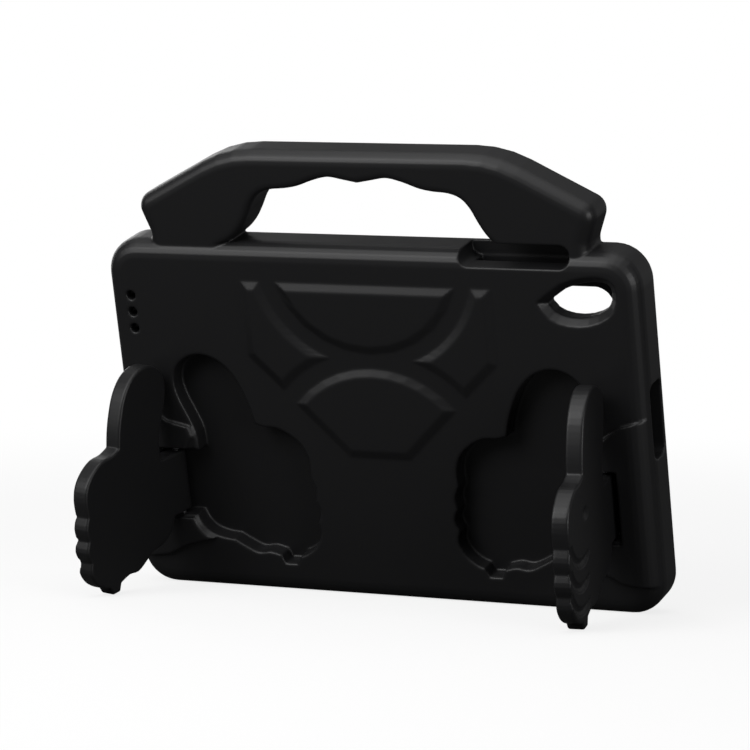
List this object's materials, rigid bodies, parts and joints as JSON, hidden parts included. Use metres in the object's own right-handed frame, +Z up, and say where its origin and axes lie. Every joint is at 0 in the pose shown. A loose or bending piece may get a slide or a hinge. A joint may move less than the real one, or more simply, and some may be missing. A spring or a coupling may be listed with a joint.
{
  "type": "kids tablet case",
  "caption": "Foam tablet case with an arched carrying handle and hand-shaped stands that hinge out of recesses in its back to prop it up.",
  "frame": {"origin": "centre of the bounding box's bottom face, on the surface that the case stands on", "axes": "+X to the right as seen from the back, along the case's length; +Y from the back towards the screen side; +Z up. The case leans back 14.9 degrees on its open stands"},
  "size_m": [0.236, 0.0922, 0.1887],
  "materials": {
    "case_foam": "satin black moulded foam with a very fine grain",
    "stand_foam": "satin black moulded foam with a very fine grain",
    "pin_steel": "plain bright steel wire"
  },
  "bodies": {
    "case": {"case_body": "case_foam", "left_hinge_pin": "pin_steel", "right_hinge_pin": "pin_steel"},
    "left_stand": {"left_stand": "stand_foam"},
    "right_stand": {"right_stand": "stand_foam"}
  },
  "joints": [
    {"name": "left_stand_hinge", "type": "hinge", "parent": "case", "child": "left_stand", "pos_m": [-0.0966, 0.01731, 0.04528], "axis": [0, -0.257, 0.9664], "range_deg": [0, 103.3]},
    {"name": "right_stand_hinge", "type": "hinge", "parent": "case", "child": "right_stand", "pos_m": [0.0966, 0.01731, 0.04528], "axis": [0, 0.257, -0.9664], "range_deg": [0, 93.8]}
  ]
}
